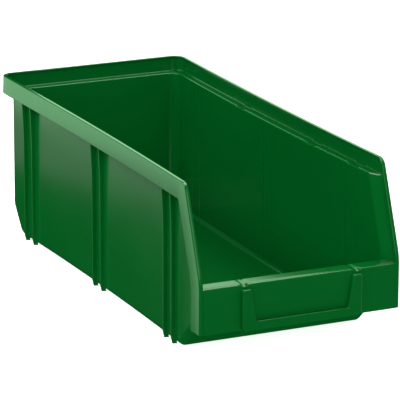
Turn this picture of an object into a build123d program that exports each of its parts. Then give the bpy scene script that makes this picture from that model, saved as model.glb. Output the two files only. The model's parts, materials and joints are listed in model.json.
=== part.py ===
from build123d import *
import os
from math import atan2, cos, hypot, tan

# An open-fronted stacking storage bin, moulded in one piece of polypropylene.
# The moulding is cut here into its named regions, which meet face to face.
# X is the width, Y the depth with the label holder at -Y, Z is up.
# The origin is the centre of the footprint, on the plane that the bin stands on.
# All lengths are in millimetres.

# Overall size
OVERALL_WIDTH = 160.0
OVERALL_DEPTH = 383.0
OVERALL_HEIGHT = 128.0

# The moulding's wall, and how far the collar stands out from it
WALL = 2.0
SIDE_STEP = 6.0
REAR_STEP = 7.0
COLLAR_HEIGHT = 14.3
CORNER_RADIUS = 10.0
WALL_BOW = 3.0
COLLAR_BOW = 2.0

# The sloped front edge: upright to BEND_HEIGHT, then leaning back to the rim
BEND_HEIGHT = 60.6
SLOPE_RUN = 25.5
FLANGE_DEPTH = 14.0
FLANGE_RETURN = 3.4
BEND_RADIUS = 40.0
RIM_CORNER_RADIUS = 8.0

# The underside: a raised shelf behind the front panel, a ramp, a flat base and a sloped heel
SHELF_HEIGHT = 22.0
SHELF_LENGTH = 22.0
RAMP_LENGTH = 24.0
HEEL_LENGTH = 20.0
HEEL_HEIGHT = 22.0
RAMP_RADIUS = 6.0
HEEL_RADIUS = 14.0

# The front panel and its lip
PANEL_TOP = 56.4
LIP_DEPTH = 12.0
LIP_CROWN = 0.8

# The label holder on the front panel
HOLDER_DEPTH = 4.0
HOLDER_HALF_WIDTH = 47.5
HOLDER_TOP = 53.0
HOLDER_CORNER_RADIUS = 4.0
HOLDER_RAIL_TOP = 29.0
WINDOW_HALF_TOP = 40.8
WINDOW_HALF_BOTTOM = 36.4

# The stiffening ribs stand in pairs on each side, and flare out towards the ledge
RIB_PAIR_CENTRES = (62.0, 196.3, 328.9)
RIB_GAP = 15.2
RIB_THICKNESS = 1.8
RIB_DEPTH = 3.5
RIB_FLARE = 1.2
RIB_FLARE_HEIGHT = 32.0
RIB_FOOT_TAPER = 1.2
RIB_FOOT_HEIGHT = 5.0

# The shallow pockets in the side ledges
POCKET_CENTRES = (58.8, 124.3, 244.5)
POCKET_LENGTH = 16.0
POCKET_DEPTH = 0.9

# Derived places
FRONT = -OVERALL_DEPTH / 2 + HOLDER_DEPTH
REAR = OVERALL_DEPTH / 2
LEDGE_BOTTOM = OVERALL_HEIGHT - COLLAR_HEIGHT
LEDGE_TOP = LEDGE_BOTTOM + WALL
HALF_COLLAR = OVERALL_WIDTH / 2
HALF_WALL = HALF_COLLAR - SIDE_STEP
REAR_WALL = REAR - REAR_STEP
RAMP_TOP_Y = FRONT + SHELF_LENGTH
RAMP_FOOT_Y = RAMP_TOP_Y + RAMP_LENGTH
HEEL_FOOT_Y = REAR_WALL - HEEL_LENGTH
RAMP_BLEND = RAMP_RADIUS * tan(atan2(SHELF_HEIGHT, RAMP_LENGTH) / 2)
HEEL_BLEND = HEEL_RADIUS * tan(atan2(HEEL_HEIGHT, HEEL_LENGTH) / 2)
SLOPE_ANGLE = atan2(SLOPE_RUN, OVERALL_HEIGHT - BEND_HEIGHT)


def edge_y(inset, height):
    """Y on the line that runs `inset` behind the leaning part of the front edge."""
    return FRONT + inset / cos(SLOPE_ANGLE) + (height - BEND_HEIGHT) * tan(SLOPE_ANGLE)


def bend_point(inset):
    """Where the upright and the leaning stretch meet, `inset` behind the front edge."""
    return (FRONT + inset, BEND_HEIGHT - inset * tan(SLOPE_ANGLE / 2))


SIDE_START = edge_y(FLANGE_DEPTH, LEDGE_BOTTOM)


def block(low, high):
    """A box from its lowest to its highest corner."""
    size = [b - a for a, b in zip(low, high)]
    return Pos(*low) * Box(*size, align=(Align.MIN, Align.MIN, Align.MIN))


def side_profile(points, radii, x_low, x_high):
    """A closed outline in Y and Z, with a radius at each point, made solid from x_low to x_high."""
    outline = FilletPolyline(*points, radius=radii, close=True)
    face = make_face(Plane.YZ * outline)
    return Pos(x_low, 0, 0) * extrude(face, amount=x_high - x_low, dir=(1, 0, 0))


def front_plate(outline, back, depth):
    """A closed outline in X and Z, made solid from Y `back` towards the front."""
    face = make_face(Plane.XZ * outline)
    return Pos(0, back, 0) * extrude(face, amount=depth, dir=(0, -1, 0))


def plan_outline(half_width, rear, radius, bow):
    """The outline from above: sides that bow inwards, and rounded rear corners."""
    side_end = rear - radius
    middle = (SIDE_START + side_end) / 2
    diagonal = radius * (1 - cos(atan2(1, 1)))
    edges = []
    for side in (1, -1):
        edges.append(Line((side * half_width, FRONT), (side * half_width, SIDE_START)))
        edges.append(
            ThreePointArc(
                (side * half_width, SIDE_START),
                (side * (half_width - bow), middle),
                (side * half_width, side_end),
            )
        )
        edges.append(
            ThreePointArc(
                (side * half_width, side_end),
                (side * (half_width - diagonal), rear - diagonal),
                (side * (half_width - radius), rear),
            )
        )
    edges.append(Line((half_width - radius, rear), (radius - half_width, rear)))
    edges.append(Line((-half_width, FRONT), (half_width, FRONT)))
    return make_face(Wire(edges))


def plan_solid(half_width, rear, radius, bow, low, high):
    """The outline from above, made solid from height `low` to height `high`."""
    return Pos(0, 0, low) * extrude(plan_outline(half_width, rear, radius, bow), amount=high - low)


def parallel(points, gap):
    """An open run of points moved sideways by `gap`, to the left of the way it runs."""
    normals = []
    for (y0, z0), (y1, z1) in zip(points, points[1:]):
        length = hypot(y1 - y0, z1 - z0)
        normals.append(((z0 - z1) / length, (y1 - y0) / length))
    moved = [(points[0][0] + gap * normals[0][0], points[0][1] + gap * normals[0][1])]
    for (y, z), (ay, az), (by, bz) in zip(points[1:], normals, normals[1:]):
        share = gap / (1 + ay * by + az * bz)
        moved.append((y + share * (ay + by), z + share * (az + bz)))
    end = normals[-1]
    moved.append((points[-1][0] + gap * end[0], points[-1][1] + gap * end[1]))
    return moved


def inner_wall_solid():
    """Everything inside the inner face of the walls, from below the base to above the rim."""
    return plan_solid(
        HALF_WALL - WALL, REAR_WALL - WALL, CORNER_RADIUS - WALL, WALL_BOW, -WALL, OVERALL_HEIGHT + WALL
    )


UNDERSIDE = [
    (FRONT, SHELF_HEIGHT),
    (RAMP_TOP_Y, SHELF_HEIGHT),
    (RAMP_FOOT_Y, 0),
    (HEEL_FOOT_Y, 0),
    (REAR_WALL, HEEL_HEIGHT),
    (REAR_WALL, LEDGE_BOTTOM),
]
UNDERSIDE_RADII = [RAMP_RADIUS, RAMP_RADIUS, HEEL_RADIUS, HEEL_RADIUS]


def tub_solid():
    """Everything inside the outer faces of walls and base, with the long bottom edges rounded."""
    start = (FRONT + FLANGE_DEPTH, SHELF_HEIGHT)
    top_front = (SIDE_START, LEDGE_BOTTOM)
    points = [start, *UNDERSIDE[1:], top_front, bend_point(FLANGE_DEPTH)]
    radii = [0, *UNDERSIDE_RADII, 0, 0, BEND_RADIUS - FLANGE_DEPTH]
    profile = side_profile(points, radii, -HALF_COLLAR, HALF_COLLAR)
    sharp = plan_solid(HALF_WALL, REAR_WALL, CORNER_RADIUS, WALL_BOW, 0, LEDGE_BOTTOM) & profile
    return fillet([edge for edge in sharp.edges() if is_bottom_edge(edge)], WALL)


def is_bottom_edge(edge):
    """Whether an edge runs along the side of the underside, from the shelf to the heel."""
    box = edge.bounding_box()
    beside = min(abs(box.min.X), abs(box.max.X)) > HALF_WALL - CORNER_RADIUS
    along = box.size.Y > 1 and box.max.Y < REAR_WALL - WALL and box.max.Z < SHELF_HEIGHT + 1
    return beside and along and box.size.X < CORNER_RADIUS


def base_plate_profile():
    """The side view of the base: shelf, ramp, floor and heel, one wall thickness deep."""
    upper = parallel(UNDERSIDE[:-1] + [(REAR_WALL, HEEL_HEIGHT + HEEL_RADIUS)], WALL)
    lower = UNDERSIDE[:-1] + [(REAR_WALL, HEEL_HEIGHT + HEEL_RADIUS)]
    upper_radii = [RAMP_RADIUS + WALL, RAMP_RADIUS - WALL, HEEL_RADIUS - WALL, HEEL_RADIUS - WALL]
    points = lower + upper[::-1]
    radii = [0, *UNDERSIDE_RADII, 0, 0, *upper_radii[::-1], 0]
    return side_profile(points, radii, -HALF_COLLAR, HALF_COLLAR)


def with_mirror(shapes):
    """The named shapes for the right side, and their mirror images for the left."""
    nodes = {}
    for name, shape in shapes.items():
        nodes[name] = shape
        nodes[name.replace("right", "left")] = mirror(shape, about=Plane.YZ)
    return nodes


def split_ring(ring, name, corner_x, corner_y):
    """Cut a ring into its left, right and rear runs and its two rear corners."""
    top = OVERALL_HEIGHT
    run = ring & block((0, FRONT, 0), (HALF_COLLAR, corner_y, top))
    corner = ring & block((corner_x, corner_y, 0), (HALF_COLLAR, REAR, top))
    nodes = with_mirror({f"right_{name}": run, f"rear_right_{name}_corner": corner})
    nodes[f"rear_{name}"] = ring & block((-corner_x, corner_y, 0), (corner_x, REAR, top))
    return nodes


def make_walls():
    """Left, right and rear walls and the two rounded rear corners."""
    ring = tub_solid() - inner_wall_solid()
    return split_ring(ring, "wall", HALF_WALL - CORNER_RADIUS, REAR_WALL - CORNER_RADIUS)


def make_base():
    """Shelf, ramp, floor and heel, lying between the walls."""
    between = inner_wall_solid() & block(
        (-HALF_COLLAR, FRONT + FLANGE_DEPTH, 0), (HALF_COLLAR, REAR, OVERALL_HEIGHT)
    )
    plate = base_plate_profile() & between
    top = OVERALL_HEIGHT
    cuts = [
        ("front_shelf_rear", FRONT, RAMP_TOP_Y - RAMP_BLEND),
        ("front_ramp", RAMP_TOP_Y - RAMP_BLEND, RAMP_FOOT_Y + RAMP_BLEND),
        ("floor_panel", RAMP_FOOT_Y + RAMP_BLEND, HEEL_FOOT_Y - HEEL_BLEND),
        ("rear_heel", HEEL_FOOT_Y - HEEL_BLEND, REAR),
    ]
    return {
        name: plate & block((-HALF_COLLAR, start, 0), (HALF_COLLAR, end, top)) for name, start, end in cuts
    }


def inner_collar_solid():
    """Everything inside the inner face of the collar, from the ledge's underside to above the rim."""
    rear = REAR - WALL
    radius = CORNER_RADIUS - WALL
    return plan_solid(HALF_COLLAR - WALL, rear, radius, COLLAR_BOW, LEDGE_BOTTOM, OVERALL_HEIGHT + WALL)


def make_ledges():
    """The ledge between the walls' inner face and the collar, with shallow pockets along each side."""
    zone = block((-HALF_COLLAR, SIDE_START, LEDGE_BOTTOM), (HALF_COLLAR, REAR, LEDGE_TOP))
    ring = (inner_collar_solid() & zone) - inner_wall_solid()
    for centre in POCKET_CENTRES:
        start = FRONT + centre - POCKET_LENGTH / 2
        low = (-HALF_COLLAR, start, LEDGE_TOP - POCKET_DEPTH)
        ring = ring - block(low, (HALF_COLLAR, start + POCKET_LENGTH, LEDGE_TOP))
    return split_ring(ring, "ledge", HALF_WALL - CORNER_RADIUS, REAR_WALL - CORNER_RADIUS)


def make_collar():
    """The upstanding collar round the ledge, behind the two front flanges."""
    outer = plan_solid(HALF_COLLAR, REAR, CORNER_RADIUS, COLLAR_BOW, LEDGE_BOTTOM, OVERALL_HEIGHT)
    behind_flange = block((-HALF_COLLAR, SIDE_START, 0), (HALF_COLLAR, REAR, OVERALL_HEIGHT))
    ring = (outer - inner_collar_solid()) & behind_flange
    return split_ring(ring, "collar", HALF_COLLAR - CORNER_RADIUS, REAR - CORNER_RADIUS)


def behind_edge(inset, x_low, x_high):
    """The side view of everything behind a line that follows the front edge, `inset` behind it."""
    end = SIDE_START + FLANGE_DEPTH
    points = [
        (FRONT + inset, SHELF_HEIGHT),
        bend_point(inset),
        (edge_y(inset, OVERALL_HEIGHT), OVERALL_HEIGHT),
        (end, OVERALL_HEIGHT),
        (end, SHELF_HEIGHT),
    ]
    corner = max(RIM_CORNER_RADIUS - inset, 0)
    return side_profile(points, [0, BEND_RADIUS - inset, corner, 0, 0], x_low, x_high)


def make_flanges():
    """The band, the turned-in front edge and the step that join each side wall to the front."""
    skin_x = HALF_COLLAR - WALL
    hem_x = HALF_COLLAR - FLANGE_RETURN
    step_x = HALF_WALL - WALL
    step_start = FLANGE_DEPTH - WALL
    ahead = block((0, FRONT, SHELF_HEIGHT), (HALF_COLLAR, SIDE_START, OVERALL_HEIGHT))
    below_ledge = block((0, FRONT, 0), (HALF_COLLAR, REAR, LEDGE_BOTTOM))
    step_zone = block((0, FRONT, SHELF_HEIGHT + WALL), (HALF_COLLAR, SIDE_START, LEDGE_TOP))
    walled = behind_edge(FLANGE_DEPTH, skin_x, HALF_COLLAR) & below_ledge
    band = (behind_edge(0, skin_x, HALF_COLLAR) & ahead) - walled
    hem = behind_edge(0, hem_x, skin_x) - behind_edge(WALL, hem_x, skin_x)
    step = behind_edge(step_start, step_x, skin_x) - behind_edge(FLANGE_DEPTH, step_x, skin_x)
    return with_mirror(
        {"right_flange_band": band, "right_flange_hem": hem, "right_flange_step": step & step_zone}
    )


def make_front():
    """The front panel between the flanges, its lip, and the shelf under it."""
    half = HALF_COLLAR - FLANGE_RETURN
    inner = HALF_COLLAR - WALL
    back = FRONT + FLANGE_DEPTH - WALL
    panel = block((-half, FRONT, SHELF_HEIGHT), (half, FRONT + WALL, PANEL_TOP - WALL))
    shelf = block((-inner, FRONT + WALL, SHELF_HEIGHT), (inner, FRONT + FLANGE_DEPTH, SHELF_HEIGHT + WALL))
    lip_low = PANEL_TOP - WALL
    front_top = PANEL_TOP - LIP_CROWN
    outline = [
        Line((FRONT, front_top), (FRONT, lip_low)),
        Line((FRONT, lip_low), (back, lip_low)),
        Line((back, lip_low), (back, front_top)),
        ThreePointArc((back, front_top), ((FRONT + back) / 2, PANEL_TOP), (FRONT, front_top)),
    ]
    section = make_face(Plane.YZ * Wire(outline))
    lip = Pos(-half, 0, 0) * extrude(section, amount=2 * half, dir=(1, 0, 0))
    return {"front_panel": panel, "front_shelf": shelf, "front_lip": lip}


def make_label_holder():
    """Two posts and a bottom rail that stand proud of the front panel and hold a card."""
    post_outline = Polyline(
        (HOLDER_HALF_WIDTH, HOLDER_RAIL_TOP),
        (HOLDER_HALF_WIDTH, HOLDER_TOP),
        (WINDOW_HALF_TOP, HOLDER_TOP),
        (WINDOW_HALF_BOTTOM, HOLDER_RAIL_TOP),
        close=True,
    )
    rail_outline = FilletPolyline(
        (HOLDER_HALF_WIDTH, HOLDER_RAIL_TOP),
        (-HOLDER_HALF_WIDTH, HOLDER_RAIL_TOP),
        (-HOLDER_HALF_WIDTH, SHELF_HEIGHT),
        (HOLDER_HALF_WIDTH, SHELF_HEIGHT),
        radius=[0, 0, HOLDER_CORNER_RADIUS, HOLDER_CORNER_RADIUS],
        close=True,
    )
    post, rail = (front_plate(outline, FRONT, HOLDER_DEPTH) for outline in (post_outline, rail_outline))
    return {**with_mirror({"label_holder_right_post": post}), "label_holder_rail": rail}


def make_ribs():
    """Upright stiffening ribs in pairs on both sides, flared under the ledge and tapered at the foot."""
    core = tub_solid()
    nodes = {}
    for number, centre in enumerate(RIB_PAIR_CENTRES, start=1):
        for place, offset in (("front", -RIB_GAP / 2), ("rear", RIB_GAP / 2)):
            y = FRONT + centre + offset
            reach = wall_x(y) + RIB_DEPTH
            points = [
                (HALF_WALL - 2 * WALL_BOW, 0),
                (reach - RIB_FOOT_TAPER, 0),
                (reach, RIB_FOOT_HEIGHT),
                (reach, LEDGE_BOTTOM - RIB_FLARE_HEIGHT),
                (reach + RIB_FLARE, LEDGE_BOTTOM),
                (HALF_WALL - 2 * WALL_BOW, LEDGE_BOTTOM),
            ]
            outline = Polyline(*points, close=True)
            rib = front_plate(outline, y + RIB_THICKNESS / 2, RIB_THICKNESS) - core
            nodes.update(with_mirror({f"right_rib_{number}_{place}": rib}))
    return nodes


def wall_x(y):
    """Half the width across the outer faces of the bowed side walls at Y."""
    end = REAR_WALL - CORNER_RADIUS
    half_span = (end - SIDE_START) / 2
    share = (y - (SIDE_START + end) / 2) / half_span
    return HALF_WALL - WALL_BOW * (1 - share * share)


def main():
    os.makedirs("parts", exist_ok=True)
    nodes = {}
    for make in (make_base, make_walls, make_ledges, make_collar, make_flanges, make_front):
        nodes.update(make())
    nodes.update(make_label_holder())
    nodes.update(make_ribs())
    for name, shape in nodes.items():
        export_step(shape, f"parts/{name}.step")


main()
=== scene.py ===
"""The looks of a stackable storage bin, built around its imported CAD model.

The bin is one green polypropylene moulding. Its visible surfaces are built here in millimetres as closed
meshes, with the rounded edges and corners that a moulding has, and stand in for the CAD's plain regions.
X is the width, Y the depth with the label holder at -Y, and Z is up.
"""

import json
import math

import bmesh
import bpy
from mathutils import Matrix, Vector

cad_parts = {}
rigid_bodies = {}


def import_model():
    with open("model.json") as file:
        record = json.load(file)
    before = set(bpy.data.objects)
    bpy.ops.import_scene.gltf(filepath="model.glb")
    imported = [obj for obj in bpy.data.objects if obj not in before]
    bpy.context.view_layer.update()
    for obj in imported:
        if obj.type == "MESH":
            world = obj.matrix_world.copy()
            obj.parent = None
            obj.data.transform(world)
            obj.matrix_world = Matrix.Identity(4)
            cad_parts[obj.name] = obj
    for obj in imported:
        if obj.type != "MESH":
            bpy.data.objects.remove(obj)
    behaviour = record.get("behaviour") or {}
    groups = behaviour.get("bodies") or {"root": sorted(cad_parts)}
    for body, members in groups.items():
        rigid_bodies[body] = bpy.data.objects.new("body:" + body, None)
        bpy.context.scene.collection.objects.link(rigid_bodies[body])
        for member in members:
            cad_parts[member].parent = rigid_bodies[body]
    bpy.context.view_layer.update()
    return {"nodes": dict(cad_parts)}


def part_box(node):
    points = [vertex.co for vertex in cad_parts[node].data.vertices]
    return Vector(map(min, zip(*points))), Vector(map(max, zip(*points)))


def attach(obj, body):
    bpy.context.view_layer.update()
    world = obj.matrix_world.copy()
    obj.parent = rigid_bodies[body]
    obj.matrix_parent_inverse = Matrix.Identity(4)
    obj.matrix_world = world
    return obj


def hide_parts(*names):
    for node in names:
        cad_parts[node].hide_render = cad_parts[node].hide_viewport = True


MM = 0.001

# The sloped front edge and the rim, which overlap the walls by the seam
BEND_HEIGHT = 60.6
SLOPE_RUN = 25.5
BEND_RADIUS = 40.0
RIM_CORNER_RADIUS = 8.0
SMALL_CORNER_RADIUS = 2.0
CORNER_RADIUS = 10.0
FLANGE_DEPTH = 14.0
FLANGE_RETURN = 3.4
SEAM_DEPTH = 1.2
BLEND_DEPTH = 9.0
BAND_DRAFT = 0.3
DRAFT_LEVEL = 0.6
DRAFT_SHARE = 0.4
RIM_BEAD = 1.0
RIM_BEAD_DEPTH = 2.5
COLLAR_FACE_DEPTH = 6.0
FOOT_EASE = 0.7
# How far back each corner of the rim's section is rounded, from the inside round to the outside
FRONT_SETBACKS = (SEAM_DEPTH, 3.0, 0.3, 0.4, 0.5, 1.1, 0.2, 0.4, 0.6)
TOP_SETBACKS = (0.9, 0.9, 0.4, 0.4, 0.4, 0.5, 0.2, 0.4, 0.6)

# The walls and the base
RAMP_LENGTH = 24.0
RAMP_RADIUS = 6.0
SHELF_LENGTH = 22.0
HEEL_LENGTH = 20.0
HEEL_HEIGHT = 22.0
HEEL_RADIUS = 14.0
BASE_EDGE_RADIUS = 5.0
WALL_BOW = 3.0
COLLAR_BOW = 2.0
SINK_DEPTH = 0.15
SINK_HALF_WIDTH = 1.5
SINK_MIDWAY = 0.7

# The pockets in the side ledges, placed by their distance from the front
POCKET_CENTRES = (58.8, 124.3, 244.5)
POCKET_LENGTH = 16.0
POCKET_DEPTH = 0.9
POCKET_SLOPE = 0.8
POCKET_EASE = 1.0
POCKET_BAND = 2.2

# The front panel, its lip with two hollows, and the label holder
PANEL_EDGE_RADIUS = 0.6
LIP_FALL = 0.08
LIP_NOSE = 1.4
LIP_NOSE_DROP = LIP_NOSE * 0.4
LIP_NOSE_RUN = LIP_NOSE * 1.8
LIP_NOSE_SETBACK = LIP_NOSE * 0.8
LIP_REAR_RADIUS = 0.5
LIP_END_RADIUS = 0.6
DIP_PLACE = 45.0
DIP_SLANT = 3.3
DIP_HALF_WIDTH = 4.2
DIP_DEPTH = 1.3
DIP_FADE = 0.6
WINDOW_HALF_TOP = 40.8
WINDOW_CORNER_RADIUS = 0.8
HOLDER_CORNER_RADIUS = 4.0
HOLDER_EDGE_RADIUS = 0.8

# The stiffening ribs
RIB_FLARE = 1.2
RIB_FLARE_HEIGHT = 32.0
RIB_FLARE_POWER = 1.6
RIB_FOOT_TAPER = 1.2
RIB_FOOT_HEIGHT = 5.0
RIB_TIP_SHARE = 0.8
RIB_ROOT_DEPTH = 0.6
RIB_ROOT_RADIUS = 0.8
# How far back each corner of a rib's section is rounded, from the wall out to the tip
RIB_SETBACKS = (0.02, RIB_ROOT_RADIUS * 0.9, 0.45)

# How finely the meshes are divided, with the lip's mesh rows measured from its middle or its end
EDGE_STEPS = 3
ARC_STEPS = 8
CORNER_STEPS = 10
SLICE_GAP = 9.0
FLARE_STEPS = 8
DIP_STEPS = 10
DIP_STEP = 0.8
LIP_MIDDLE_ROW = 20.0
LIP_END_ROWS = (12.0, LIP_END_RADIUS, 0.15, 0)
BEVEL_STEPS = 3
# Angles in degrees above which an edge is rounded or stays sharp, and lengths that count as touching
BEVEL_ANGLE = 30
SHARP_ANGLE = 40
NEAR = 0.01
LIP_FOOT = 0.1

# The plastic
PLASTIC_DEEP = (0.0, 0.119, 0.0152, 1)
PLASTIC_LIGHT = (0.0, 0.126, 0.0162, 1)
ROUGHNESS = (0.16, 0.22)
REFRACTION = 1.5
MOTTLE_SCALE = 14.0
MOTTLE_DETAIL = 3
MOTTLE_SPREAD = (0.3, 0.7)
GRAIN_SCALE = 900.0
GRAIN_DETAIL = 2
GRAIN_STRENGTH = 0.015
GRAIN_HEIGHT = 0.0002

# Camera and stage, in metres, degrees and watts, with the lens and its sensor in millimetres
CAMERA_AZIMUTH = -24.84
CAMERA_ELEVATION = 16.10
CAMERA_ROLL = 0.08
CAMERA_DISTANCE = 2.3579
CAMERA_LENS = 278.2
CAMERA_SENSOR = 36
CAMERA_REACH = 50
CAMERA_TARGET = (0, 0.0018, 0.0642)
CAMERA_SHIFT = (0.0271, -0.0039)
BLACK = (0, 0, 0)
PALE_GREY = (0.8, 0.8, 0.8)
WHITE = (1, 1, 1)
FLOOR_SIZE = 12
FLOOR_GAP = 0.0002
FLOOR_GLOW = 0.85
DOME_GLOW = 1.0
WORLD_STRENGTH = 0.44
BIN_MIDDLE = (0, 0, 0.06)
# Lights aimed at the bin's middle: name, place, size, watts, whether the plastic mirrors them
LIGHTS = (
    ("left softbox", (-1.0, 0.1, 1.1), (0.8, 0.8), 12, True),
    ("top softbox", (0.45, 0.15, 1.5), (0.8, 0.5), 9, True),
    ("front softbox", (0, -3.0, 1.2), (1.5, 1.2), 18, True),
    ("left fill", (-1.1, -2.8, 1.3), (1.5, 1.2), 20, False),
    ("bounce", (-0.3, -0.3, -0.8), (2.4, 2.4), 8, False),
)
GREEN_CARD = (0.55, 1.0, 0.6)
ROSE_CARD = (1.0, 0.9, 0.97)
# Cards that the plastic mirrors: name, two upright edges as (x, y, low z, high z), colour, glow
CARDS = (
    ("backdrop left", (-0.6, 0.36, -0.19, 0.17), (-0.05, 0.36, 0.114, 0.17), GREEN_CARD, 1.9),
    ("backdrop foot", (-0.6, 0.36, -0.235, -0.19), (-0.05, 0.36, 0.059, 0.114), ROSE_CARD, 0.36),
    ("backdrop right", (0.02, 0.36, 0.12, 0.42), (0.36, 0.36, 0.12, 0.42), GREEN_CARD, 2.0),
    ("backdrop top", (0.02, 0.36, 0.42, 1.0), (0.7, 0.36, 0.42, 1.0), GREEN_CARD, 2.4),
    ("left card", (-1.2, 0.35, -0.2, 0.25), (-0.36, 0.35, -0.2, 0.25), GREEN_CARD, 1.9),
    ("right card", (0.5, 0.22, -0.2, -0.035), (0.5, -0.25, -0.2, -0.035), GREEN_CARD, 2.6),
)


def millimetres(node):
    """The lowest and highest corner of a CAD node, in millimetres."""
    low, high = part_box(node)
    return low / MM, high / MM


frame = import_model()

REAR_WALL = millimetres("rear_wall")[1].y
WALL = REAR_WALL - millimetres("rear_wall")[0].y
HALF_WALL = millimetres("right_wall")[1].x
HALF_COLLAR = millimetres("right_collar")[1].x
REAR = millimetres("rear_collar")[1].y
RIM = millimetres("rear_collar")[1].z
LEDGE_BOTTOM = millimetres("rear_collar")[0].z
LEDGE_TOP = millimetres("rear_ledge")[1].z
FRONT = millimetres("front_panel")[0].y
SHELF = millimetres("front_panel")[0].z
SIDE_START = millimetres("right_ledge")[0].y
SIDE_END = REAR_WALL - CORNER_RADIUS
COLLAR_DEPTH = RIM - LEDGE_BOTTOM
SLOPE_ANGLE = math.atan2(SLOPE_RUN, RIM - BEND_HEIGHT)


# Mesh tools


def rounded(points, setbacks, steps):
    """The run of points with its inner corners rounded.

    Lengths and angles are measured in the first two coordinates, and any others follow along.
    """
    vectors = [Vector(p) for p in points]
    run = [vectors[0]]
    for before, corner, after, setback in zip(vectors, vectors[1:], vectors[2:], setbacks):
        arms = []
        for other in (before, after):
            arms.append((other - corner) * (setback / (other.resized(2) - corner.resized(2)).length))
        turn = (-arms[0].resized(2)).angle(arms[1].resized(2), 0.0)
        weight = math.cos(turn / 2)
        for step in range(steps + 1):
            t = step / steps
            shares = ((1 - t) ** 2, 2 * weight * t * (1 - t), t**2)
            total = sum(shares)
            run.append(corner + (arms[0] * shares[0] + arms[1] * shares[2]) / total)
    run.append(vectors[-1])
    return run


def grid_faces(rows, columns, closed=False):
    """Faces of a grid whose vertices are listed row by row."""
    faces = []
    for row in range(rows - 1):
        for column in range(columns if closed else columns - 1):
            a = row * columns + column
            b = row * columns + (column + 1) % columns
            faces.append((a, b, b + columns, a + columns))
    return faces


def bow(point):
    """Draw a point inwards as the side walls and the collar bow between front and rear."""
    middle = (SIDE_START + SIDE_END) / 2
    share = (point.y - middle) / (SIDE_END - middle)
    if abs(share) >= 1:
        return
    outward = min(max((abs(point.x) - HALF_WALL) / (HALF_COLLAR - WALL - HALF_WALL), 0), 1)
    amount = WALL_BOW + (COLLAR_BOW - WALL_BOW) * outward
    amount *= min(1, abs(point.x) / (HALF_WALL - 2 * CORNER_RADIUS))
    point.x -= math.copysign(amount * (1 - share * share), point.x)


def slice_across(mesh, places):
    """Cut the mesh at each Y place, so that it can bend."""
    for y in places:
        geometry = mesh.verts[:] + mesh.edges[:] + mesh.faces[:]
        bmesh.ops.bisect_plane(mesh, geom=geometry, dist=1e-4, plane_co=(0, y, 0), plane_no=(0, 1, 0))


def slice_places():
    """Y places between the flanges and the rear corners."""
    count = round((SIDE_END - SIDE_START) / SLICE_GAP)
    return [SIDE_START + (SIDE_END - SIDE_START) * i / count for i in range(count + 1)]


def add_piece(name, mesh, nodes):
    """Turn a bmesh in millimetres into a named piece that stands for the given CAD nodes."""
    bmesh.ops.remove_doubles(mesh, verts=mesh.verts, dist=1e-3)
    bmesh.ops.recalc_face_normals(mesh, faces=mesh.faces)
    bmesh.ops.scale(mesh, vec=(MM, MM, MM), verts=mesh.verts)
    data = bpy.data.meshes.new(name)
    mesh.to_mesh(data)
    mesh.free()
    data.shade_smooth()
    data.set_sharp_from_angle(angle=math.radians(SHARP_ANGLE))
    piece = bpy.data.objects.new(name, data)
    bpy.context.scene.collection.objects.link(piece)
    normals = piece.modifiers.new("flat faces stay flat", "WEIGHTED_NORMAL")
    normals.keep_sharp = True
    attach(piece, "root")
    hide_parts(*nodes)
    return piece


def round_edges(piece, width):
    """Round the piece's sharp edges."""
    bevel = piece.modifiers.new("rounded edges", "BEVEL")
    bevel.width = width * MM
    bevel.segments = BEVEL_STEPS
    bevel.limit_method = "ANGLE"
    bevel.angle_limit = math.radians(BEVEL_ANGLE)
    piece.modifiers.move(len(piece.modifiers) - 1, 0)


# The rim: ledge, collar and front flanges, swept along the rim's edge


def edge_run(inset, depth):
    """Side view of a line `inset` behind the front edge and `depth` below the rim."""
    lean = math.tan(SLOPE_ANGLE)
    top = RIM - depth
    points = [
        (FRONT + inset, SHELF),
        (FRONT + inset, BEND_HEIGHT - inset * math.tan(SLOPE_ANGLE / 2)),
        (FRONT + inset / math.cos(SLOPE_ANGLE) + (top - BEND_HEIGHT) * lean, top),
        (SIDE_END, top),
    ]
    corner = max(RIM_CORNER_RADIUS - min(inset, depth), SMALL_CORNER_RADIUS)
    bend_setback = (BEND_RADIUS - inset) * math.tan(SLOPE_ANGLE / 2)
    corner_setback = corner * math.tan((math.pi / 2 - SLOPE_ANGLE) / 2)
    return rounded(points, (bend_setback, corner_setback), ARC_STEPS)


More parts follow.
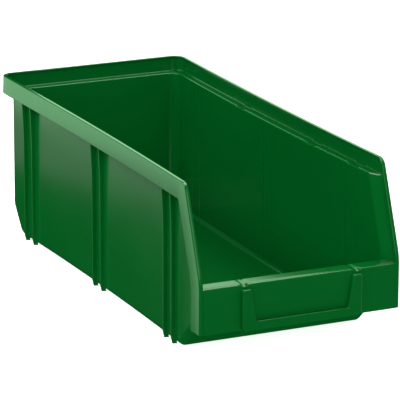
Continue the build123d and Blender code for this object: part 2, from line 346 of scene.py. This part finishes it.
def rim_sections():
    """The rim's section on the front flange and along the top, point for point.

    A front point is (x, inset). A top point is (x, depth, Y of the rear run, plan corner radius).
    """
    wall_in = HALF_WALL - WALL
    skin_in = HALF_COLLAR - WALL
    hem_in = HALF_COLLAR - FLANGE_RETURN
    eased_draft = BAND_DRAFT * DRAFT_SHARE
    front = [
        (wall_in, FLANGE_DEPTH + SEAM_DEPTH),
        (wall_in, FLANGE_DEPTH),
        (skin_in, FLANGE_DEPTH - BLEND_DEPTH),
        (skin_in, WALL),
        (hem_in, WALL),
        (hem_in, 0),
        (HALF_COLLAR - BAND_DRAFT, 0),
        (HALF_COLLAR - eased_draft, FLANGE_DEPTH * DRAFT_LEVEL),
        (HALF_COLLAR, FLANGE_DEPTH),
        (HALF_WALL, FLANGE_DEPTH),
        (HALF_WALL, FLANGE_DEPTH + SEAM_DEPTH),
    ]
    inner = CORNER_RADIUS - WALL
    ledge = RIM - LEDGE_TOP
    top = [
        (wall_in, COLLAR_DEPTH + SEAM_DEPTH, REAR_WALL - WALL, inner),
        (wall_in, ledge, REAR_WALL - WALL, inner),
        (skin_in, ledge, REAR - WALL, inner),
        (skin_in, COLLAR_FACE_DEPTH, REAR - WALL, inner),
        (skin_in, RIM_BEAD_DEPTH, REAR - WALL, inner),
        (skin_in - RIM_BEAD, 0, REAR - WALL - RIM_BEAD, inner),
        (HALF_COLLAR - BAND_DRAFT, 0, REAR - BAND_DRAFT, CORNER_RADIUS),
        (HALF_COLLAR - eased_draft, COLLAR_DEPTH * DRAFT_LEVEL, REAR - eased_draft, CORNER_RADIUS),
        (HALF_COLLAR, COLLAR_DEPTH, REAR, CORNER_RADIUS),
        (HALF_WALL, COLLAR_DEPTH, REAR_WALL, CORNER_RADIUS),
        (HALF_WALL, COLLAR_DEPTH + SEAM_DEPTH, REAR_WALL, CORNER_RADIUS),
    ]
    return rounded(front, FRONT_SETBACKS, EDGE_STEPS), rounded(top, TOP_SETBACKS, EDGE_STEPS)


def rim_line(front, top):
    """One point of the section, followed from the right flange's foot to the middle of the rear."""
    run = edge_run(front[1], top[1])
    corner_start = len(run) - ARC_STEPS - 2
    line = [(min(front[0], HALF_COLLAR - FOOT_EASE), max(run[0].x, FRONT + FOOT_EASE), SHELF)]
    run[0].y += FOOT_EASE
    for i, (y, z) in enumerate(run[:-1]):
        share = min(max((i - corner_start) / ARC_STEPS, 0), 1)
        line.append((front[0] + (top[0] - front[0]) * share, y, z))
    x, depth, rear, radius = top
    for step in range(CORNER_STEPS + 1):
        angle = math.pi / 2 * step / CORNER_STEPS
        across = x - radius + radius * math.cos(angle)
        along = rear - radius + radius * math.sin(angle)
        line.append((across, along, RIM - depth))
    line.append((0, rear, RIM - depth))
    return line


def pocket_share(y):
    """How far a point is inside a ledge pocket, from 0 outside it to 1."""
    share = 0
    for centre in POCKET_CENTRES:
        inside = POCKET_LENGTH / 2 - abs(y - FRONT - centre)
        share = max(share, min(max(inside / POCKET_SLOPE, 0), 1))
    return share


def make_rim():
    """Ledge, collar and front flanges in one closed mesh."""
    mesh = bmesh.new()
    lines = [rim_line(front, top) for front, top in zip(*rim_sections())]
    stations = [list(station) for station in zip(*lines)]
    mirrored = [[(-x, y, z) for x, y, z in station] for station in stations[-2::-1]]
    rows = stations + mirrored
    verts = [mesh.verts.new(p) for row in rows for p in row]
    for face in grid_faces(len(rows), len(lines), closed=True):
        mesh.faces.new([verts[i] for i in face])
    mesh.faces.new(verts[: len(lines)])
    mesh.faces.new(verts[-len(lines) :])
    places = slice_places()
    for centre in POCKET_CENTRES:
        for side in (-1, 1):
            edge = FRONT + centre + side * POCKET_LENGTH / 2
            places += [edge, edge - side * POCKET_SLOPE / 2, edge - side * POCKET_SLOPE]
    slice_across(mesh, places)
    for vert in mesh.verts:
        on_ledge = HALF_WALL - WALL - NEAR < abs(vert.co.x) < HALF_COLLAR - WALL + NEAR
        height = vert.co.z - (LEDGE_TOP - POCKET_EASE)
        if on_ledge and 0 < height < POCKET_BAND and vert.co.y > SIDE_START:
            vert.co.z -= POCKET_DEPTH * min(height / POCKET_EASE, 1) * pocket_share(vert.co.y)
    for vert in mesh.verts:
        bow(vert.co)
    nodes = ["rear_ledge", "rear_collar"]
    for side in ("left", "right"):
        nodes += [f"{side}_ledge", f"rear_{side}_ledge_corner"]
        nodes += [f"{side}_collar", f"rear_{side}_collar_corner"]
        nodes += [f"{side}_flange_band", f"{side}_flange_hem", f"{side}_flange_step"]
    add_piece("rim", mesh, nodes)


# The tub: walls and base


def underside_run():
    """Side view of the underside and rear, as (point, direction towards the inside) pairs."""
    ramp_top = FRONT + SHELF_LENGTH
    points = [
        (FRONT + FLANGE_DEPTH + SEAM_DEPTH, SHELF),
        (ramp_top, SHELF),
        (ramp_top + RAMP_LENGTH, 0),
        (REAR_WALL - HEEL_LENGTH, 0),
        (REAR_WALL, HEEL_HEIGHT),
        (REAR_WALL, LEDGE_BOTTOM - SEAM_DEPTH),
    ]
    radii = (RAMP_RADIUS, RAMP_RADIUS, HEEL_RADIUS, HEEL_RADIUS)
    vectors = [Vector(p) for p in points]
    headings = [(b - a).normalized() for a, b in zip(vectors, vectors[1:])]
    run = [(vectors[0], Vector((-headings[0].y, headings[0].x)))]
    for corner, radius, before, after in zip(vectors[1:], radii, headings, headings[1:]):
        turn = after.angle_signed(before, 0.0)
        start = corner - before * radius * math.tan(abs(turn) / 2)
        side = math.copysign(1, turn)
        inward = Vector((-before.y, before.x))
        centre = start + inward * radius * side
        for step in range(ARC_STEPS + 1):
            angle = turn * step / ARC_STEPS
            cosine, sine = math.cos(angle), math.sin(angle)
            normal = Vector((inward.x * cosine - inward.y * sine, inward.x * sine + inward.y * cosine))
            run.append((centre - normal * radius * side, normal))
    run.append((vectors[-1], Vector((-headings[-1].y, headings[-1].x))))
    return run


def side_radius(point):
    """Radius between base and side wall, growing up the heel into the upright corner's radius."""
    share = 0
    if point.y > 0 and point.x > 0:
        share = min(point.y / (HEEL_HEIGHT + HEEL_RADIUS / 2), 1)
    return BASE_EDGE_RADIUS + (CORNER_RADIUS - BASE_EDGE_RADIUS) * share


def tub_row(point, normal, thickness):
    """One section through base and rounded edges, `thickness` inside the outer face."""
    radius = side_radius(point)
    half = []
    for step in range(CORNER_STEPS + 1):
        angle = math.pi / 2 * step / CORNER_STEPS
        inner = radius - thickness
        x = HALF_WALL - radius + inner * math.sin(angle)
        place = point + normal * (radius - inner * math.cos(angle))
        half.append((x, place.x, place.y))
    return [(-x, y, z) for x, y, z in half[::-1]] + half


def rib_places():
    """Y of the middle of each rib on one side."""
    places = []
    for node in frame["nodes"]:
        if node.startswith("right_rib_"):
            low, high = millimetres(node)
            places.append((low.y + high.y) / 2)
    return sorted(places)


def make_tub():
    """Side walls, rear wall and base in one closed mesh, open at the top and front."""
    mesh = bmesh.new()
    run = underside_run()
    columns = 2 * (CORNER_STEPS + 1)
    rail = edge_run(FLANGE_DEPTH + SEAM_DEPTH, COLLAR_DEPTH + SEAM_DEPTH)[1:-1]
    skins = []
    for thickness in (0, WALL):
        rows = [[mesh.verts.new(p) for p in tub_row(point, normal, thickness)] for point, normal in run]
        verts = [v for row in rows for v in row]
        for face in grid_faces(len(rows), columns):
            mesh.faces.new([verts[i] for i in face])
        edges = []
        for side, column in ((-1, 0), (1, columns - 1)):
            upper = [mesh.verts.new((side * (HALF_WALL - thickness), y, z)) for y, z in rail]
            mesh.faces.new([row[column] for row in rows] + upper[::-1])
            edges.append(upper)
        skins.append(rows[0][::-1] + edges[0] + rows[-1] + edges[1][::-1])
    outer, inner = skins
    for i in range(len(outer)):
        j = (i + 1) % len(outer)
        mesh.faces.new((outer[i], outer[j], inner[j], inner[i]))
    marks = rib_places()
    offsets = (-SINK_HALF_WIDTH, -SINK_MIDWAY, 0, SINK_MIDWAY, SINK_HALF_WIDTH)
    slice_across(mesh, slice_places() + [y + offset for y in marks for offset in offsets])
    for vert in mesh.verts:
        nearest = min(abs(vert.co.y - y) for y in marks)
        if abs(abs(vert.co.x) - (HALF_WALL - WALL)) < NEAR and nearest < SINK_HALF_WIDTH:
            vert.co.x += math.copysign(SINK_DEPTH * (1 - nearest / SINK_HALF_WIDTH), vert.co.x)
        bow(vert.co)
    nodes = ["front_shelf_rear", "front_ramp", "floor_panel", "rear_heel", "rear_wall"]
    for side in ("left", "right"):
        nodes += [f"{side}_wall", f"rear_{side}_wall_corner"]
    add_piece("tub", mesh, nodes)


# The front: panel, shelf, lip and label holder


def prism(name, outline, axis, low, high, nodes, round_to):
    """A closed outline made solid along X, Y or Z, with its edges rounded unless `round_to` is 0."""
    mesh = bmesh.new()
    ends = []
    for place in (low, high):
        points = []
        for u, v in outline:
            points.append({"x": (place, u, v), "y": (u, place, v), "z": (u, v, place)}[axis])
        ends.append([mesh.verts.new(p) for p in points])
        mesh.faces.new(ends[-1])
    for i in range(len(outline)):
        j = (i + 1) % len(outline)
        mesh.faces.new((ends[0][i], ends[0][j], ends[1][j], ends[1][i]))
    piece = add_piece(name, mesh, nodes)
    if round_to:
        round_edges(piece, round_to)


def make_panel():
    """The front panel, level with the front flanges, with its lower edge eased."""
    low, high = millimetres("front_panel")
    corners = [(FRONT, high.z), (FRONT, low.z), (high.y, low.z)]
    outline = rounded(corners, [PANEL_EDGE_RADIUS], EDGE_STEPS)
    outline.append(Vector((high.y, high.z)))
    prism("front_panel_moulded", [p[:2] for p in outline], "x", low.x, high.x, ["front_panel"], 0)


def make_shelf():
    """The raised shelf behind the front panel, notched round the flange steps."""
    low, high = millimetres("front_shelf")
    inside = HALF_WALL - WALL
    notch = FRONT + FLANGE_DEPTH - WALL
    rear = FRONT + FLANGE_DEPTH + SEAM_DEPTH
    right = [(high.x, low.y), (high.x, notch), (inside, notch), (inside, rear)]
    left = [(-x, y) for x, y in right[::-1]]
    prism("front_shelf_moulded", right + left, "z", low.z, high.z, ["front_shelf"], 0)


def dip(x, y, depth):
    """How far the lip's top is pressed down in the two hollows beside the label holder."""
    back = min(max((y - FRONT) / depth, 0), 1)
    centre = DIP_PLACE - DIP_SLANT * back
    fade = 1 - DIP_FADE * back
    reach = min(abs(abs(x) - centre) / (DIP_HALF_WIDTH * fade), 1)
    return DIP_DEPTH * fade * (0.5 + 0.5 * math.cos(math.pi * reach))


def lip_section(low, high):
    """Side view of the lip: a rounded nose at the front, a nearly flat top and a rounded rear edge."""
    points = [
        (low.y, low.z),
        (low.y, high.z - LIP_NOSE_DROP),
        (low.y + LIP_NOSE_RUN, high.z),
        (high.y, high.z - LIP_FALL),
        (high.y, low.z),
    ]
    return rounded(points, (LIP_NOSE_SETBACK, LIP_NOSE, LIP_REAR_RADIUS), EDGE_STEPS + 1)


def make_lip():
    """The lip that stiffens the top of the front panel."""
    low, high = millimetres("front_lip")
    section = [Vector(p) for p in lip_section(low, high)]
    depth = high.y - low.y
    ends = [high.x - distance for distance in LIP_END_ROWS]
    hollow = [DIP_PLACE + (i - DIP_STEPS) * DIP_STEP for i in range(2 * DIP_STEPS + 1)]
    half = sorted([LIP_MIDDLE_ROW] + hollow + ends)
    mesh = bmesh.new()
    rows = []
    for x in [-x for x in half[::-1]] + [0.0] + half:
        ease = max(abs(x) - (high.x - LIP_END_RADIUS), 0) / LIP_END_RADIUS
        inset = LIP_END_RADIUS * (1 - math.sqrt(max(1 - ease * ease, 0)))
        row = []
        for point in section:
            y = min(max(point.x, low.y + inset), high.y - inset)
            z = min(point.y - dip(x, point.x, depth) * (point.y > low.z + LIP_FOOT), high.z - inset)
            row.append(mesh.verts.new((x, y, max(z, low.z))))
        rows.append(row)
    verts = [v for row in rows for v in row]
    for face in grid_faces(len(rows), len(section), closed=True):
        mesh.faces.new([verts[i] for i in face])
    mesh.faces.new(rows[0])
    mesh.faces.new(rows[-1])
    add_piece("front_lip_moulded", mesh, ["front_lip"])


def make_label_holder():
    """Two posts and a rail in one open-topped frame that stands proud of the front panel."""
    rail_low, rail_high = millimetres("label_holder_rail")
    post_high = millimetres("label_holder_right_post")[1]
    post_low = millimetres("label_holder_right_post")[0]
    right = [(0, rail_low.z), (rail_high.x, rail_low.z), (rail_high.x, post_high.z)]
    outer = rounded(right, [HOLDER_CORNER_RADIUS], ARC_STEPS)[1:]
    window = [(WINDOW_HALF_TOP, post_high.z), (post_low.x, rail_high.z), (0, rail_high.z)]
    inner = rounded(window, [WINDOW_CORNER_RADIUS], EDGE_STEPS)[:-1]
    half = [(p[0], p[1]) for p in outer + inner]
    outline = half + [(-x, z) for x, z in half[::-1]]
    nodes = ["label_holder_rail", "label_holder_left_post", "label_holder_right_post"]
    prism("label_holder", outline, "y", rail_low.y, rail_high.y, nodes, HOLDER_EDGE_RADIUS)


# The stiffening ribs


def make_rib(node):
    """One rib: a plate with an eased edge that grows out of the wall and flares under the ledge."""
    low, high = millimetres(node)
    side = math.copysign(1, low.x + high.x)
    middle_y = (low.y + high.y) / 2
    thickness = (high.y - low.y) / 2
    wall = Vector((HALF_WALL, middle_y, 0))
    bow(wall)
    tip = max(abs(low.x), abs(high.x))
    reach = tip - RIB_FLARE
    levels = [(0, reach - RIB_FOOT_TAPER), (RIB_FOOT_HEIGHT, reach)]
    for step in range(FLARE_STEPS + 1):
        share = step / FLARE_STEPS
        height = high.z - RIB_FLARE_HEIGHT * (1 - share)
        levels.append((height, reach + RIB_FLARE * share**RIB_FLARE_POWER))
    mesh = bmesh.new()
    rows = []
    for z, outward in levels:
        root = wall.x - RIB_ROOT_DEPTH
        flank = [
            (root, thickness + RIB_ROOT_RADIUS),
            (wall.x, thickness + RIB_ROOT_RADIUS),
            (wall.x, thickness),
            (outward, thickness * RIB_TIP_SHARE),
            (outward, 0),
        ]
        corners = rounded(flank, RIB_SETBACKS, EDGE_STEPS)
        section = [(p[0], p[1]) for p in corners]
        section += [(x, -y) for x, y in section[-2::-1]]
        rows.append([mesh.verts.new((side * x, middle_y + y, z)) for x, y in section])
    verts = [v for row in rows for v in row]
    for face in grid_faces(len(rows), len(rows[0]), closed=True):
        mesh.faces.new([verts[i] for i in face])
    mesh.faces.new(rows[0])
    mesh.faces.new(rows[-1])
    add_piece(node + "_moulded", mesh, [node])


def make_ribs():
    """Every rib that the frame holds."""
    for node in sorted(frame["nodes"]):
        if "_rib_" in node:
            make_rib(node)


# Material


def make_plastic():
    """Green polypropylene: smooth and softly glossy, with a faint mottle and moulded grain."""
    material = bpy.data.materials.new("green polypropylene")
    material.use_nodes = True
    nodes = material.node_tree.nodes
    links = material.node_tree.links
    shader = nodes["Principled BSDF"]
    place = nodes.new("ShaderNodeTexCoord")
    mottle = nodes.new("ShaderNodeTexNoise")
    mottle.inputs["Scale"].default_value = MOTTLE_SCALE
    mottle.inputs["Detail"].default_value = MOTTLE_DETAIL
    colours = nodes.new("ShaderNodeValToRGB")
    tones = (PLASTIC_DEEP, PLASTIC_LIGHT)
    for element, tone, position in zip(colours.color_ramp.elements, tones, MOTTLE_SPREAD):
        element.color = tone
        element.position = position
    grain = nodes.new("ShaderNodeTexNoise")
    grain.inputs["Scale"].default_value = GRAIN_SCALE
    grain.inputs["Detail"].default_value = GRAIN_DETAIL
    gloss = nodes.new("ShaderNodeMapRange")
    gloss.inputs["To Min"].default_value = ROUGHNESS[0]
    gloss.inputs["To Max"].default_value = ROUGHNESS[1]
    bump = nodes.new("ShaderNodeBump")
    bump.inputs["Strength"].default_value = GRAIN_STRENGTH
    bump.inputs["Distance"].default_value = GRAIN_HEIGHT
    for texture in (mottle, grain):
        links.new(place.outputs["Object"], texture.inputs["Vector"])
    links.new(mottle.outputs["Fac"], colours.inputs["Fac"])
    links.new(colours.outputs["Color"], shader.inputs["Base Color"])
    links.new(mottle.outputs["Fac"], gloss.inputs["Value"])
    links.new(gloss.outputs["Result"], shader.inputs["Roughness"])
    links.new(grain.outputs["Fac"], bump.inputs["Height"])
    links.new(bump.outputs["Normal"], shader.inputs["Normal"])
    shader.inputs["IOR"].default_value = REFRACTION
    return material


# Camera, floor and lights


def make_camera():
    """A long lens, in front of the bin and to its left."""
    data = bpy.data.cameras.new("camera")
    data.lens = CAMERA_LENS
    data.sensor_width = CAMERA_SENSOR
    data.shift_x, data.shift_y = CAMERA_SHIFT
    data.clip_end = CAMERA_REACH
    camera = bpy.data.objects.new("camera", data)
    azimuth, elevation = math.radians(CAMERA_AZIMUTH), math.radians(CAMERA_ELEVATION)
    back = Vector((
        math.sin(azimuth) * math.cos(elevation),
        -math.cos(azimuth) * math.cos(elevation),
        math.sin(elevation),
    ))
    camera.location = Vector(CAMERA_TARGET) + back * CAMERA_DISTANCE
    camera.rotation_euler = back.to_track_quat("Z", "Y").to_euler()
    camera.rotation_euler.rotate_axis("Z", math.radians(CAMERA_ROLL))
    bpy.context.scene.collection.objects.link(camera)
    bpy.context.scene.camera = camera


def plain_material(name, colour, glow_colour, glow):
    """A matt surface that also gives off some light of its own."""
    material = bpy.data.materials.new(name)
    material.use_nodes = True
    shader = material.node_tree.nodes["Principled BSDF"]
    shader.inputs["Base Color"].default_value = (*colour, 1)
    shader.inputs["Roughness"].default_value = 1
    shader.inputs["Specular IOR Level"].default_value = 0
    shader.inputs["Emission Color"].default_value = (*glow_colour, 1)
    shader.inputs["Emission Strength"].default_value = glow
    return material


def make_background(name, material):
    """Name the shape just added and show it to the camera alone, so that light passes through it."""
    shape = bpy.context.object
    shape.name = name
    shape.data.materials.append(material)
    shape.visible_diffuse = False
    shape.visible_glossy = False
    shape.visible_shadow = False


def make_floor():
    """A wide pale floor under a white dome that hides the horizon."""
    bpy.ops.mesh.primitive_plane_add(size=FLOOR_SIZE, location=(0, 0, -FLOOR_GAP))
    make_background("floor", plain_material("pale floor", PALE_GREY, WHITE, FLOOR_GLOW))
    bpy.ops.mesh.primitive_uv_sphere_add(radius=FLOOR_SIZE / 2)
    make_background("dome", plain_material("white dome", BLACK, WHITE, DOME_GLOW))


def make_world(strength):
    """Even white surroundings, which the plastic doesn't mirror."""
    world = bpy.data.worlds.new("studio")
    bpy.context.scene.world = world
    world.use_nodes = True
    background = world.node_tree.nodes["Background"]
    background.inputs["Color"].default_value = (*WHITE, 1)
    background.inputs["Strength"].default_value = strength
    world.cycles_visibility.glossy = False


def make_light(name, place, size, power, mirrored):
    """A soft rectangular light that faces the bin and may show in the plastic."""
    data = bpy.data.lights.new(name, "AREA")
    data.shape = "RECTANGLE"
    data.size, data.size_y = size
    data.energy = power
    light = bpy.data.objects.new(name, data)
    light.location = place
    light.rotation_euler = (Vector(place) - Vector(BIN_MIDDLE)).to_track_quat("Z", "Y").to_euler()
    light.visible_glossy = mirrored
    bpy.context.scene.collection.objects.link(light)


def make_card(name, left, right, colour, glow):
    """A pale card that only shows as a reflection in the plastic."""
    corners = []
    for (x, y, low, high), order in ((left, 1), (right, -1)):
        corners += [(x, y, z) for z in (low, high)[::order]]
    data = bpy.data.meshes.new(name)
    data.from_pydata(corners, [], [(0, 1, 2, 3)])
    data.materials.append(plain_material(name, BLACK, colour, glow))
    card = bpy.data.objects.new(name.replace(" ", "_"), data)
    card.visible_camera = False
    card.visible_diffuse = False
    card.visible_shadow = False
    bpy.context.scene.collection.objects.link(card)


def make_stage():
    """Floor, surroundings, lights and cards."""
    bpy.context.scene.view_settings.view_transform = "Standard"
    make_floor()
    make_world(WORLD_STRENGTH)
    for light in LIGHTS:
        make_light(*light)
    for card in CARDS:
        make_card(*card)


def main():
    """Build everything."""
    make_camera()
    make_rim()
    make_tub()
    make_panel()
    make_shelf()
    make_lip()
    make_label_holder()
    make_ribs()
    plastic = make_plastic()
    for piece in bpy.data.objects:
        if piece.type == "MESH":
            piece.data.materials.clear()
            piece.data.materials.append(plastic)
    make_stage()


main()
